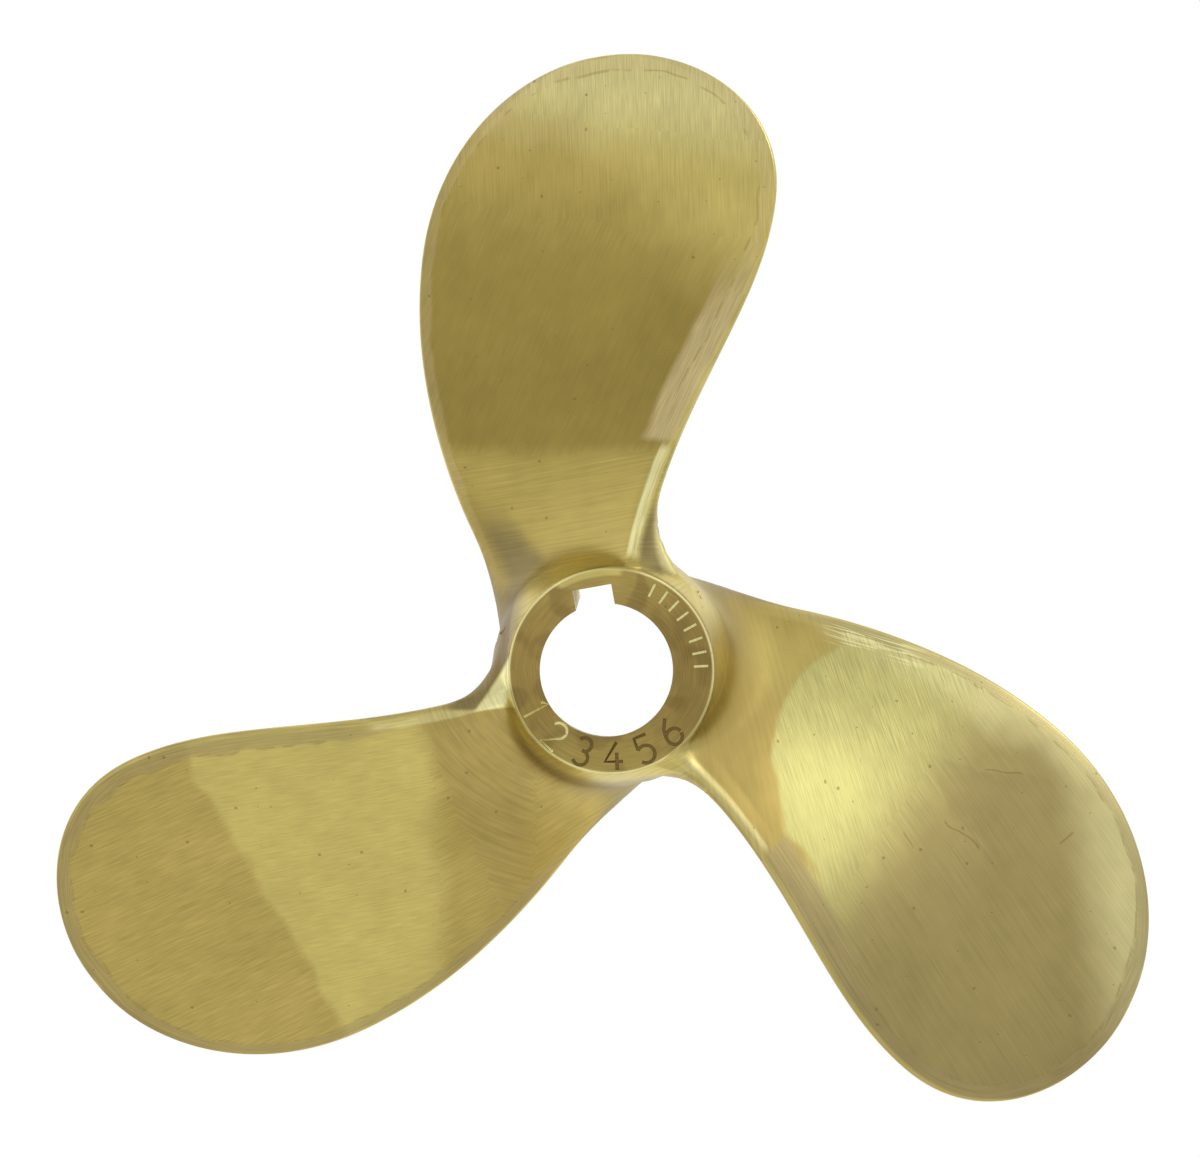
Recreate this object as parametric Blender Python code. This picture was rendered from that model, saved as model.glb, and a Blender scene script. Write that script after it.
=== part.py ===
# Three-bladed left-handed boat propeller, cast in one piece of brass.
# Sizes are in millimetres and degrees here, and the mesh is written in metres.
# The shaft axis is Z and +Z points aft, towards the smaller end of the hub.
# The origin lies on the shaft axis, near the centre of mass.

import functools
import math

import bmesh
import bpy

MM = 0.001

# Size class
DIAMETER = 203.2
PITCH = 177.8
TIP_RADIUS = DIAMETER / 2

# Hub, turned at both ends around an axis a little off the bore
HUB_AFT_Z = 15.5
HUB_LENGTH = 43.0
HUB_FORWARD_Z = HUB_AFT_Z - HUB_LENGTH
HUB_CENTRE = (0.8, -0.1)
NOSE_RADIUS = 17.2
NOSE_LENGTH = 0.8
NOSE_CHAMFER = 0.3
LAND_Z = HUB_AFT_Z - NOSE_LENGTH
SHOULDER_ROUND = 1.0
SHOULDER_Z = LAND_Z - SHOULDER_ROUND
BODY_AFT_RADIUS = 17.6
BODY_MIDDLE_RADIUS = 21.9
BODY_FORWARD_RADIUS = 20.6
FORWARD_CHAMFER = 1.0
FACING_SLOPE = 35.0
FACING_BLEND = 3.0
FACING_REACH = 25.0

# Tapered bore and keyway
BORE_AFT_RADIUS = 11.1
BORE_TAPER = 1 / 6
KEYWAY_WIDTH = 6.6
KEYWAY_TOP = 14.0
KEYWAY_ANGLE = 100.0
CUTTER_OVERRUN = 2.0

# Blades: the plane that their tips rake from, and the finished castings' small differences
BLADE_PLANE_Z = 11.0
BLADE_ANGLES = (90.5, 212.4, 326.8)
BLADE_GROWTHS = (0.0, -1.2, 1.0)
BLADE_ROOT_SHIFTS = (0.0, 3.0, 0.45)
BLADE_ROOT_GROWTHS = (-0.4, 1.6, 3.1)
ROOT_FADE = 6.0
FOOT_FADE = 25.0
FOOT_TRIES = 8
BLADES_CENTRE = (0.2, 1.75)
RAKE = 0.13
RAKE_RADIUS = 63.0
SKEW_ANGLE = 32.1
SKEW_POWER = 1.83

# Blade outline, measured round the cylinder at each radius
WIDEST = 62.8
WIDEST_RADIUS = 76.2
SHOULDER = 16.8
SIDE_SLOPE = 0.87
TIP_FULLNESS = 2.4
TIP_ROUNDNESS = 1.97

# Blade sections: flat aft face, arched back, rounded edges
ROOT_RADIUS = 20.0
ROOT_THICKNESS = 9.5
TIP_THICKNESS = 2.0
ROOT_EDGE = 3.0
TIP_EDGE = 1.3
EDGE_THINNING = 3.0
SINK_RADIUS = 15.0
CORE_RADIUS = 12.0

# Fillets between blade and hub
BACK_FILLETS = (15.0, 12.0, 12.5)
FACE_LEADING_FILLET = 13.0
FACE_TRAILING_FILLET = 2.5
LEADING_FILLET = 16.0
TRAILING_FILLET = 0.5
FILLET_OVERLAP = 0.3

# Mesh steps
BODY_STEPS = 10
SHOULDER_STEPS = 2
HUB_SEGMENTS = 96
BORE_SEGMENTS = 72
FILLET_STEPS = 9
BLADE_STEPS = 13
TIP_STEPS = 3
CHORD_STEPS = 14
EDGE_STEPS = 4

BRASS_COLOUR = (0.47, 0.36, 0.12, 1.0)


def clear_scene():
    for old in list(bpy.data.objects):
        bpy.data.objects.remove(old, do_unlink=True)


def brass():
    material = bpy.data.materials.new("brass")
    material.use_nodes = True
    shader = material.node_tree.nodes["Principled BSDF"]
    shader.inputs["Base Color"].default_value = BRASS_COLOUR
    shader.inputs["Metallic"].default_value = 1.0
    shader.inputs["Roughness"].default_value = 0.38
    return material


def lerp(start, end, share):
    return start + (end - start) * share


def blade_width(radius):
    """Width of the blade measured round the cylinder of this radius."""
    if radius <= WIDEST_RADIUS:
        drop = SIDE_SLOPE * (WIDEST_RADIUS - radius)
        return WIDEST - (math.hypot(SHOULDER, drop) - SHOULDER)
    share = min(1.0, (radius - WIDEST_RADIUS) / (TIP_RADIUS - WIDEST_RADIUS))
    return WIDEST * max(0.0, 1 - share**TIP_FULLNESS) ** (1 / TIP_ROUNDNESS)


def blade_skew(radius):
    """Angle of the section's middle ahead of the tip, in radians."""
    return math.radians(SKEW_ANGLE) * max(0.0, 1 - radius / TIP_RADIUS) ** SKEW_POWER


def blade_share(radius):
    """How far out along the blade a radius is, from 0 at the root to 1 at the tip."""
    return min(1.0, max(0.0, (radius - ROOT_RADIUS) / (TIP_RADIUS - ROOT_RADIUS)))


@functools.lru_cache
def section_sizes(radius):
    """Half length between the rounded ends, edge and thickness of one section."""
    share = blade_share(radius)
    edge = lerp(TIP_EDGE, ROOT_EDGE, (1 - share) ** EDGE_THINNING)
    thickness = lerp(ROOT_THICKNESS, TIP_THICKNESS, share)
    to_tip = TIP_RADIUS - radius
    if to_tip < TIP_EDGE / 2:
        rounding = math.sqrt(max(0.0, 1 - (1 - 2 * to_tip / TIP_EDGE) ** 2))
        edge *= rounding
        thickness *= rounding
    slope = math.atan2(PITCH / (2 * math.pi), radius)
    inner = max(0.05, blade_width(radius) / (2 * math.cos(slope)) - edge / 2)
    return inner, edge, thickness


def section_places():
    """Places round a section: the side, and how far along it."""
    chord = [math.cos(math.pi * step / CHORD_STEPS) for step in range(CHORD_STEPS + 1)]
    ends = [math.pi * (step / EDGE_STEPS - 0.5) for step in range(1, EDGE_STEPS)]
    places = [("back", -place) for place in chord]
    places += [("leading", turn) for turn in ends]
    places += [("face", place) for place in chord]
    places += [("trailing", turn + math.pi) for turn in ends]
    return places


def section_point(radius, side, place):
    """Point of a section and its outward direction, both as (along chord, towards aft)."""
    inner, edge, thickness = section_sizes(radius)
    if side == "back":
        slope = 2 * place * (thickness - edge) / inner
        length = math.hypot(slope, 1.0)
        arch = (thickness - edge) * (1 - place**2)
        return (place * inner, -edge / 2 - arch), (slope / length, -1 / length)
    if side == "face":
        return (place * inner, edge / 2), (0.0, 1.0)
    out = (math.cos(place), math.sin(place))
    end = inner if side == "leading" else -inner
    return (end + edge / 2 * out[0], edge / 2 * out[1]), out


def on_cylinder(radius, chord, aft, growth):
    """A section's point, wrapped on its cylinder round the blades' own centre."""
    slope = math.atan2(PITCH / (2 * math.pi), radius)
    across = chord * math.cos(slope) + aft * math.sin(slope)
    lift = -chord * math.sin(slope) + aft * math.cos(slope)
    skew = blade_skew(radius)
    angle = skew + across / radius
    height = BLADE_PLANE_Z - PITCH * skew / (2 * math.pi) + RAKE * (radius - RAKE_RADIUS) + lift
    reach = radius + growth * blade_share(radius)
    return reach * math.cos(angle), reach * math.sin(angle), height


def faced(x, y, z):
    """The height at this place, kept under the turned facing round the hub's aft end."""
    beyond = max(0.0, math.hypot(x - HUB_CENTRE[0], y - HUB_CENTRE[1]) - BODY_AFT_RADIUS)
    limit = LAND_Z + beyond * math.tan(math.radians(FACING_SLOPE))
    above = z - limit
    share = max(0.0, 1 - abs(above) / FACING_BLEND)
    return limit + min(above, 0.0) - share**2 * FACING_BLEND / 4


def placed(number, radius, chord, aft):
    """A section's point on this blade, in the model's place."""
    along, across, height = on_cylinder(radius, chord, aft, BLADE_GROWTHS[number])
    turn = math.radians(BLADE_ANGLES[number])
    x = along * math.cos(turn) - across * math.sin(turn) + BLADES_CENTRE[0]
    y = along * math.sin(turn) + across * math.cos(turn) + BLADES_CENTRE[1]
    return x, y, faced(x, y, height)


def body_radius(z):
    """Radius of the barrel-shaped hub at this height."""
    share = min(1.0, max(0.0, (z - HUB_FORWARD_Z) / (SHOULDER_Z - HUB_FORWARD_Z)))
    straight = lerp(BODY_FORWARD_RADIUS, BODY_AFT_RADIUS, share)
    bulge = BODY_MIDDLE_RADIUS - lerp(BODY_FORWARD_RADIUS, BODY_AFT_RADIUS, 0.5)
    return straight + bulge * 4 * share * (1 - share)


def above_hub(x, y, z):
    """Height of a point above the hub's side, or above the foot of the fillets."""
    return math.hypot(x - HUB_CENTRE[0], y - HUB_CENTRE[1]) - body_radius(z) + FILLET_OVERLAP


def fillet_growth(height, fillet):
    """Sideways reach of a round fillet at this height above its foot."""
    if height >= fillet:
        return 0.0
    rest = fillet - max(0.0, height)
    return fillet - math.sqrt(fillet**2 - rest**2)


def root_difference(number, radius):
    """This blade's own shift along the chord and growth at both ends."""
    fade = (1 - blade_share(radius)) ** ROOT_FADE
    return BLADE_ROOT_SHIFTS[number] * fade, BLADE_ROOT_GROWTHS[number] * fade


def widened(number, radius, side, place, height):
    """A section's point, moved out by its fillet at this height and by the root's difference."""
    (chord, aft), out = section_point(radius, side, place)
    shift, end = root_difference(number, radius)
    end += fillet_growth(height, LEADING_FILLET if chord > 0 else TRAILING_FILLET)
    fillet = BACK_FILLETS[number]
    if out[1] > 0:
        share = (chord / section_sizes(radius)[0] + 1) / 2
        fillet = lerp(FACE_TRAILING_FILLET, FACE_LEADING_FILLET, min(1.0, max(0.0, share)))
    across = fillet_growth(height, fillet)
    return placed(number, radius, chord + shift + out[0] * end, aft + out[1] * across)


def blade_line(number, side, place):
    """Points along the blade, from inside the hub over the fillet to the tip."""
    core, _ = section_point(CORE_RADIUS, side, place)
    line = [placed(number, CORE_RADIUS, *core), widened(number, SINK_RADIUS, side, place, 0.0)]
    radius = ROOT_RADIUS
    for step in range(FILLET_STEPS + 1):
        height = LEADING_FILLET * (1 - math.cos(math.pi / 2 * step / FILLET_STEPS))
        for _ in range(FOOT_TRIES):
            point = widened(number, radius, side, place, height)
            radius -= above_hub(*point) - height
        line.append(point)
    start = ROOT_RADIUS + LEADING_FILLET
    beyond = radius - start
    rounding_start = TIP_RADIUS - TIP_EDGE / 2
    for step in range(1, BLADE_STEPS + 1):
        radius = lerp(start, rounding_start, math.sin(math.pi / 2 * step / BLADE_STEPS))
        radius += beyond * max(0.0, 1 - (radius - start) / FOOT_FADE) ** 2
        line.append(widened(number, radius, side, place, radius))
    for step in range(1, TIP_STEPS):
        radius = rounding_start + TIP_EDGE / 2 * math.sin(math.pi / 2 * step / TIP_STEPS)
        line.append(widened(number, radius, side, place, radius))
    return line


def make_blade(number):
    """One blade with its fillets, closed."""
    mesh = bmesh.new()
    lines = []
    for side, place in section_places():
        points = blade_line(number, side, place)
        lines.append([mesh.verts.new((x * MM, y * MM, z * MM)) for x, y, z in points])
    x, y, z = placed(number, TIP_RADIUS, 0.0, 0.0)
    tip = mesh.verts.new((x * MM, y * MM, z * MM))
    for index, line in enumerate(lines):
        following = lines[(index + 1) % len(lines)]
        for step in range(len(line) - 1):
            mesh.faces.new((line[step], following[step], following[step + 1], line[step + 1]))
        mesh.faces.new((line[-1], following[-1], tip))
    mesh.faces.new([line[0] for line in reversed(lines)])
    return make_object(f"blade_form_{number + 1}", mesh)


def make_object(name, mesh):
    data = bpy.data.meshes.new(name)
    mesh.to_mesh(data)
    mesh.free()
    made = bpy.data.objects.new(name, data)
    bpy.context.collection.objects.link(made)
    return made


def turned_solid(name, profile, centre, segments):
    """A closed solid turned round a vertical axis from (radius, height) points."""
    mesh = bmesh.new()
    rings = []
    for radius, height in profile:
        ring = []
        for step in range(segments):
            turn = 2 * math.pi * step / segments
            place = (
                (centre[0] + radius * math.cos(turn)) * MM,
                (centre[1] + radius * math.sin(turn)) * MM,
                height * MM,
            )
            ring.append(mesh.verts.new(place))
        rings.append(ring)
    for lower, upper in zip(rings, rings[1:]):
        for index in range(segments):
            following = (index + 1) % segments
            mesh.faces.new((lower[index], lower[following], upper[following], upper[index]))
    mesh.faces.new(reversed(rings[0]))
    mesh.faces.new(rings[-1])
    return make_object(name, mesh)


def make_hub_body():
    """The rough hub, long at the forward end for facing and with a rounded aft shoulder."""
    profile = [(BODY_FORWARD_RADIUS, HUB_FORWARD_Z - CUTTER_OVERRUN)]
    for step in range(BODY_STEPS + 1):
        height = lerp(HUB_FORWARD_Z, SHOULDER_Z, step / BODY_STEPS)
        profile.append((body_radius(height), height))
    for step in range(1, SHOULDER_STEPS + 1):
        turn = math.pi / 2 * step / SHOULDER_STEPS
        inward = SHOULDER_ROUND * (1 - math.cos(turn))
        profile.append((BODY_AFT_RADIUS - inward, SHOULDER_Z + SHOULDER_ROUND * math.sin(turn)))
    return turned_solid("propeller", profile, HUB_CENTRE, HUB_SEGMENTS)


def make_nose():
    """The ring that stands proud of the faced aft end."""
    profile = [
        (NOSE_RADIUS, LAND_Z - CUTTER_OVERRUN),
        (NOSE_RADIUS, HUB_AFT_Z - NOSE_CHAMFER),
        (NOSE_RADIUS - NOSE_CHAMFER, HUB_AFT_Z),
    ]
    return turned_solid("nose_form", profile, HUB_CENTRE, HUB_SEGMENTS)


def make_forward_facing():
    """Faces the forward end and chamfers its rim."""
    flat = BODY_FORWARD_RADIUS - FORWARD_CHAMFER
    land = HUB_FORWARD_Z + FORWARD_CHAMFER
    profile = [
        (flat, HUB_FORWARD_Z - FACING_REACH),
        (flat + FACING_REACH, HUB_FORWARD_Z - FACING_REACH),
        (flat + FACING_REACH, land),
        (BODY_FORWARD_RADIUS, land),
        (flat, HUB_FORWARD_Z),
    ]
    return turned_solid("forward_facing", profile, HUB_CENTRE, HUB_SEGMENTS)


def make_bore_cutter():
    forward = BORE_AFT_RADIUS + (HUB_LENGTH + CUTTER_OVERRUN) * BORE_TAPER / 2
    aft = BORE_AFT_RADIUS - CUTTER_OVERRUN * BORE_TAPER / 2
    profile = [
        (forward, HUB_FORWARD_Z - CUTTER_OVERRUN),
        (aft, HUB_AFT_Z + CUTTER_OVERRUN),
    ]
    return turned_solid("bore_cutter", profile, (0.0, 0.0), BORE_SEGMENTS)


def make_keyway_cutter():
    """A straight-sided bar whose top follows the bore's taper."""
    length = HUB_LENGTH + 2 * CUTTER_OVERRUN
    top_aft = KEYWAY_TOP - CUTTER_OVERRUN * BORE_TAPER / 2
    top_forward = top_aft + length * BORE_TAPER / 2
    half = KEYWAY_WIDTH / 2
    turn = math.radians(KEYWAY_ANGLE)
    mesh = bmesh.new()
    corners = []
    for height, top in (
        (HUB_FORWARD_Z - CUTTER_OVERRUN, top_forward),
        (HUB_AFT_Z + CUTTER_OVERRUN, top_aft),
    ):
        for out, side in ((0.0, -half), (top, -half), (top, half), (0.0, half)):
            x = out * math.cos(turn) - side * math.sin(turn)
            y = out * math.sin(turn) + side * math.cos(turn)
            corners.append(mesh.verts.new((x * MM, y * MM, height * MM)))
    bmesh.ops.convex_hull(mesh, input=corners)
    return make_object("keyway_cutter", mesh)


def combine(target, other, operation):
    other.hide_render = True
    other.display_type = "WIRE"
    modifier = target.modifiers.new(other.name, "BOOLEAN")
    modifier.operation = operation
    modifier.object = other


def main():
    clear_scene()
    propeller = make_hub_body()
    propeller.data.materials.append(brass())
    for number in range(len(BLADE_ANGLES)):
        combine(propeller, make_blade(number), "UNION")
    combine(propeller, make_forward_facing(), "DIFFERENCE")
    combine(propeller, make_nose(), "UNION")
    combine(propeller, make_bore_cutter(), "DIFFERENCE")
    combine(propeller, make_keyway_cutter(), "DIFFERENCE")
    propeller.data.shade_smooth()
    propeller.data.set_sharp_from_angle(angle=math.radians(35))


main()
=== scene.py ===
# Looks of a three-bladed left-handed boat propeller, cast in brass and ground by hand.
# Sizes are in millimetres and degrees, and meshes are written in metres, in the frame of the model.

import functools
import math

import bmesh
import bpy
from mathutils import Matrix, Vector
from mathutils.bvhtree import BVHTree

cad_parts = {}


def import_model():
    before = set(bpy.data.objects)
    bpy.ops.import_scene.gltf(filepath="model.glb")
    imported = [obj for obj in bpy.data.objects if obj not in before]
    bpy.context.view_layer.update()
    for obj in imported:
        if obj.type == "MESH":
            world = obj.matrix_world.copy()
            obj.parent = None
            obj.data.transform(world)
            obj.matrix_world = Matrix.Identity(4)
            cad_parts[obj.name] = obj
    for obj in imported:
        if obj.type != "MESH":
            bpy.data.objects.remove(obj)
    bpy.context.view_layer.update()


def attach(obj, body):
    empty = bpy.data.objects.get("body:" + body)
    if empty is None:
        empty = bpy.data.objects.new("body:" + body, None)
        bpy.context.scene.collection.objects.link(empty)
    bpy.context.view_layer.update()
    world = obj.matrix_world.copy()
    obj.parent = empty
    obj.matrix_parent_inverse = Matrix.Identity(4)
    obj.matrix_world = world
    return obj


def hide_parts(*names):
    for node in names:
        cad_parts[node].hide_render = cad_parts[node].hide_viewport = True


MM = 0.001

# Size class
DIAMETER = 203.2
PITCH = 177.8
TIP_RADIUS = DIAMETER / 2

# Hub, turned at both ends around an axis a little off the bore
HUB_AFT_Z = 15.5
HUB_LENGTH = 43.0
HUB_FORWARD_Z = HUB_AFT_Z - HUB_LENGTH
HUB_CENTRE = (0.8, -0.1)
NOSE_RADIUS = 17.2
NOSE_LENGTH = 0.8
NOSE_CHAMFER = 0.3
LAND_Z = HUB_AFT_Z - NOSE_LENGTH
SHOULDER_ROUND = 1.0
SHOULDER_Z = LAND_Z - SHOULDER_ROUND
BODY_AFT_RADIUS = 17.6
BODY_MIDDLE_RADIUS = 21.9
BODY_FORWARD_RADIUS = 20.6
FORWARD_CHAMFER = 1.0
FACING_SLOPE = 35.0
FACING_BLEND = 3.0
FACING_REACH = 25.0

# Tapered bore and keyway
BORE_AFT_RADIUS = 11.1
BORE_TAPER = 1 / 6
KEYWAY_WIDTH = 6.6
KEYWAY_TOP = 14.0
KEYWAY_ANGLE = 100.0
CUTTER_OVERRUN = 2.0

# Plain digits and a plain scale, stamped into the aft end
DIGITS = 6
DIGITS_START = 208.0
DIGITS_STEP = 21.2
DIGITS_RADIUS = 14.2
DIGIT_HEIGHT = 4.6
DIGIT_GROOVE = 0.3
TICKS = 8
TICKS_START = 63.0
TICKS_STEP = 8.6
TICKS_RADIUS = 15.0
TICK_LENGTH = 2.4
TICK_GROOVE = 0.26
GROOVE_LIFT = 0.05
ARC_STEP = 15.0

# Blades and the finished casting's small differences between them
BLADE_PLANE_Z = 11.0
BLADE_ANGLES = (90.5, 212.4, 326.8)
BLADE_GROWTHS = (0.0, -1.2, 1.0)
BLADE_ROOT_SHIFTS = (0.0, 3.0, 0.45)
BLADE_ROOT_GROWTHS = (-0.4, 1.6, 3.1)
ROOT_FADE = 6.0
FOOT_FADE = 25.0
FOOT_TRIES = 8
BLADES_CENTRE = (0.2, 1.75)
RAKE = 0.13
RAKE_RADIUS = 63.0
SKEW_ANGLE = 32.1
SKEW_POWER = 1.83

# Blade outline, measured round the cylinder at each radius
WIDEST = 62.8
WIDEST_RADIUS = 76.2
SHOULDER = 16.8
SIDE_SLOPE = 0.87
TIP_FULLNESS = 2.4
TIP_ROUNDNESS = 1.97

# Blade sections: flat aft face with a filed band along its edge, arched back, rounded edges
ROOT_RADIUS = 20.0
ROOT_THICKNESS = 9.5
TIP_THICKNESS = 2.0
ROOT_EDGE = 3.0
TIP_EDGE = 1.3
EDGE_THINNING = 3.0
SINK_RADIUS = 15.0
CORE_RADIUS = 12.0
BAND_WIDTH = 2.3
BAND_DEPTH = 0.22

# Fillets between blade and hub
BACK_FILLETS = (15.0, 12.0, 12.5)
FACE_LEADING_FILLET = 13.0
FACE_TRAILING_FILLET = 2.5
LEADING_FILLET = 16.0
TRAILING_FILLET = 0.5
FILLET_OVERLAP = 0.3
SEAM_BLEND = 1.2
SEAM_REACH = 27.0
SKIN_DEPTH = 1.0

# Even mesh round the hub, finer beside the ring
# Edges are split and collapsed by their length against the one wanted there
EVEN_EDGE = 0.75
RING_EDGE = 0.45
RING_REACH = 4.0
EVEN_PASSES = 6
LONG_EDGE = 1.35
SHORT_EDGE = 0.7
EVENING = 0.6
TOUCHING = 1e-4

# Edges sharper than this angle stay sharp in the shading
SHARP_ANGLE = 30.0

# Colours of the brass, from polished and freshly ground to filed, stained and dark; in places POLISHED also
# paints highlights, and SHADED and DARK paint shade
POLISHED = (0.97, 0.90, 0.44)
PALE = (0.72, 0.58, 0.28)
BRIGHT = (0.70, 0.61, 0.24)
GROUND = (0.70, 0.58, 0.18)
PALE_GREEN = (0.62, 0.57, 0.215)
GOLD = (0.57, 0.45, 0.13)
SATIN = (0.57, 0.44, 0.13)
TAWNY = (0.48, 0.36, 0.11)
TAN = (0.44, 0.35, 0.155)
STAINED = (0.42, 0.335, 0.13)
BROWN = (0.42, 0.30, 0.09)
UMBER = (0.41, 0.31, 0.077)
SHADED = (0.32, 0.25, 0.10)
DARK = (0.25, 0.17, 0.055)

# Depth of the grain
GRAIN_DEPTH = 0.03

# Single scratches on the third blade, by their ends in plan
SCRATCHES = (
    ((66.5, -17.0), (72.5, -19.0)),
    ((77.1, -30.0), (80.3, -27.7)),
    ((50.7, -27.1), (52.5, -30.0)),
    ((58.3, -25.2), (63.5, -31.0)),
)

# Mesh steps
FILLET_STEPS = 26
BLADE_STEPS = 56
TIP_STEPS = 5
FACE_STEPS = 48
BACK_STEPS = 56
BAND_STEPS = 3
EDGE_STEPS = 8
HUB_SEGMENTS = 256
HUB_STEPS = 40
SHOULDER_STEPS = 6
BORE_SEGMENTS = 128
STEP_CROWDING = 0.6

# Light of the room: its level, and brighter sides by azimuth, angle from the top, reach and strength
ROOM_LIGHT = 0.65
ROOM_SIDES = (
    (180, 32, 24, 0.2),
    (300, 50, 55, 0.1),
    (57, 58, 35, 0.05),
)

# Weak lamp on one side, in metres and watts
LAMP_PLACE = (0.6, 0.8, 0.5)
LAMP_SIZE = 0.4
LAMP_POWER = 1.5

# Half the side of the floor, in metres
FLOOR_REACH = 3.0

# Camera fitted to the photograph's 1200 pixel wide frame
CAMERA_PLACE = (2.15, 6.21, 204.8 + BLADE_PLANE_Z)
CAMERA_TILT = (-1.53, -0.74, 0.0)
FRAME_WIDTH = 1200
FRAME_HEIGHT = 1157
AXIS_PIXEL = (603.7, 600.7)
FOCAL_PIXELS = 1200


def lerp(start, end, share):
    return start + (end - start) * share


def blade_width(radius):
    """Width of the blade measured round the cylinder of this radius."""
    if radius <= WIDEST_RADIUS:
        drop = SIDE_SLOPE * (WIDEST_RADIUS - radius)
        return WIDEST - (math.hypot(SHOULDER, drop) - SHOULDER)
    share = min(1.0, (radius - WIDEST_RADIUS) / (TIP_RADIUS - WIDEST_RADIUS))
    return WIDEST * max(0.0, 1 - share**TIP_FULLNESS) ** (1 / TIP_ROUNDNESS)


def blade_skew(radius):
    """Angle of the section's middle ahead of the tip, in radians."""
    return math.radians(SKEW_ANGLE) * max(0.0, 1 - radius / TIP_RADIUS) ** SKEW_POWER


def blade_share(radius):
    """How far out along the blade a radius is, from 0 at the root to 1 at the tip."""
    return min(1.0, max(0.0, (radius - ROOT_RADIUS) / (TIP_RADIUS - ROOT_RADIUS)))


def spread(step, count):
    """From 1 to -1 in steps that are somewhat closer at both ends."""
    share = step / count
    return lerp(1 - 2 * share, math.cos(math.pi * share), STEP_CROWDING)


@functools.lru_cache
def section_sizes(radius):
    """Half length between the rounded ends, edge, thickness and band depth of one section."""
    share = blade_share(radius)
    edge = lerp(TIP_EDGE, ROOT_EDGE, (1 - share) ** EDGE_THINNING)
    thickness = lerp(ROOT_THICKNESS, TIP_THICKNESS, share)
    band = BAND_DEPTH
    to_tip = TIP_RADIUS - radius
    if to_tip < TIP_EDGE / 2:
        rounding = math.sqrt(max(0.0, 1 - (1 - 2 * to_tip / TIP_EDGE) ** 2))
        edge *= rounding
        thickness *= rounding
        band *= rounding
    slope = math.atan2(PITCH / (2 * math.pi), radius)
    inner = max(0.05, blade_width(radius) / (2 * math.cos(slope)) - edge / 2)
    return inner, edge, thickness, band


def section_places():
    """Places round a section: the side, and how far along it."""
    places = [("back", -spread(step, BACK_STEPS)) for step in range(BACK_STEPS + 1)]
    places += [("leading", math.pi * (step / EDGE_STEPS - 0.5)) for step in range(1, EDGE_STEPS)]
    places += [("leading_band", step / BAND_STEPS) for step in range(BAND_STEPS)]
    places += [("face", spread(step, FACE_STEPS)) for step in range(FACE_STEPS + 1)]
    places += [("trailing_band", 1 - step / BAND_STEPS) for step in range(1, BAND_STEPS + 1)]
    places += [("trailing", math.pi * (step / EDGE_STEPS + 0.5)) for step in range(1, EDGE_STEPS)]
    return places


def section_point(radius, side, place):
    """Point of a section and its outward direction, both as (along chord, towards aft)."""
    inner, edge, thickness, band = section_sizes(radius)
    band_width = min(BAND_WIDTH, inner * 0.8)
    if side == "back":
        slope = 2 * place * (thickness - edge) / inner
        length = math.hypot(slope, 1.0)
        arch = (thickness - edge) * (1 - place**2)
        return (place * inner, -edge / 2 - arch), (slope / length, -1 / length)
    if side == "face":
        return (place * (inner - band_width), edge / 2), (0.0, 1.0)
    end = 1 if side.startswith("leading") else -1
    if side.endswith("band"):
        return (end * (inner - band_width * place), edge / 2 - band * (1 - place)), (0.0, 1.0)
    out = (math.cos(place), math.sin(place))
    chord = end * inner + edge / 2 * out[0]
    return (chord, -band / 2 + (edge - band) / 2 * out[1]), out


def on_cylinder(radius, chord, aft, growth):
    """A section's point, wrapped on its cylinder round the blades' own centre."""
    slope = math.atan2(PITCH / (2 * math.pi), radius)
    across = chord * math.cos(slope) + aft * math.sin(slope)
    lift = -chord * math.sin(slope) + aft * math.cos(slope)
    skew = blade_skew(radius)
    angle = skew + across / radius
    height = BLADE_PLANE_Z - PITCH * skew / (2 * math.pi) + RAKE * (radius - RAKE_RADIUS) + lift
    reach = radius + growth * blade_share(radius)
    return reach * math.cos(angle), reach * math.sin(angle), height


def faced(x, y, z):
    """The height at this place, kept under the turned facing round the hub's aft end."""
    beyond = max(0.0, math.hypot(x - HUB_CENTRE[0], y - HUB_CENTRE[1]) - BODY_AFT_RADIUS)
    limit = LAND_Z + beyond * math.tan(math.radians(FACING_SLOPE))
    above = z - limit
    share = max(0.0, 1 - abs(above) / FACING_BLEND)
    return limit + min(above, 0.0) - share**2 * FACING_BLEND / 4


def placed(number, radius, chord, aft):
    """A section's point on this blade, in the model's place."""
    along, across, height = on_cylinder(radius, chord, aft, BLADE_GROWTHS[number])
    turn = math.radians(BLADE_ANGLES[number])
    x = along * math.cos(turn) - across * math.sin(turn) + BLADES_CENTRE[0]
    y = along * math.sin(turn) + across * math.cos(turn) + BLADES_CENTRE[1]
    return x, y, faced(x, y, height)


def body_radius(z):
    """Radius of the barrel-shaped hub at this height."""
    share = min(1.0, max(0.0, (z - HUB_FORWARD_Z) / (SHOULDER_Z - HUB_FORWARD_Z)))
    straight = lerp(BODY_FORWARD_RADIUS, BODY_AFT_RADIUS, share)
    bulge = BODY_MIDDLE_RADIUS - lerp(BODY_FORWARD_RADIUS, BODY_AFT_RADIUS, 0.5)
    return straight + bulge * 4 * share * (1 - share)


def above_hub(x, y, z):
    """Height of a point above the hub's side, or above the foot of the fillets."""
    return math.hypot(x - HUB_CENTRE[0], y - HUB_CENTRE[1]) - body_radius(z) + FILLET_OVERLAP


def fillet_growth(height, fillet):
    """Sideways reach of a round fillet at this height above its foot."""
    if height >= fillet:
        return 0.0
    rest = fillet - max(0.0, height)
    return fillet - math.sqrt(fillet**2 - rest**2)


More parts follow.
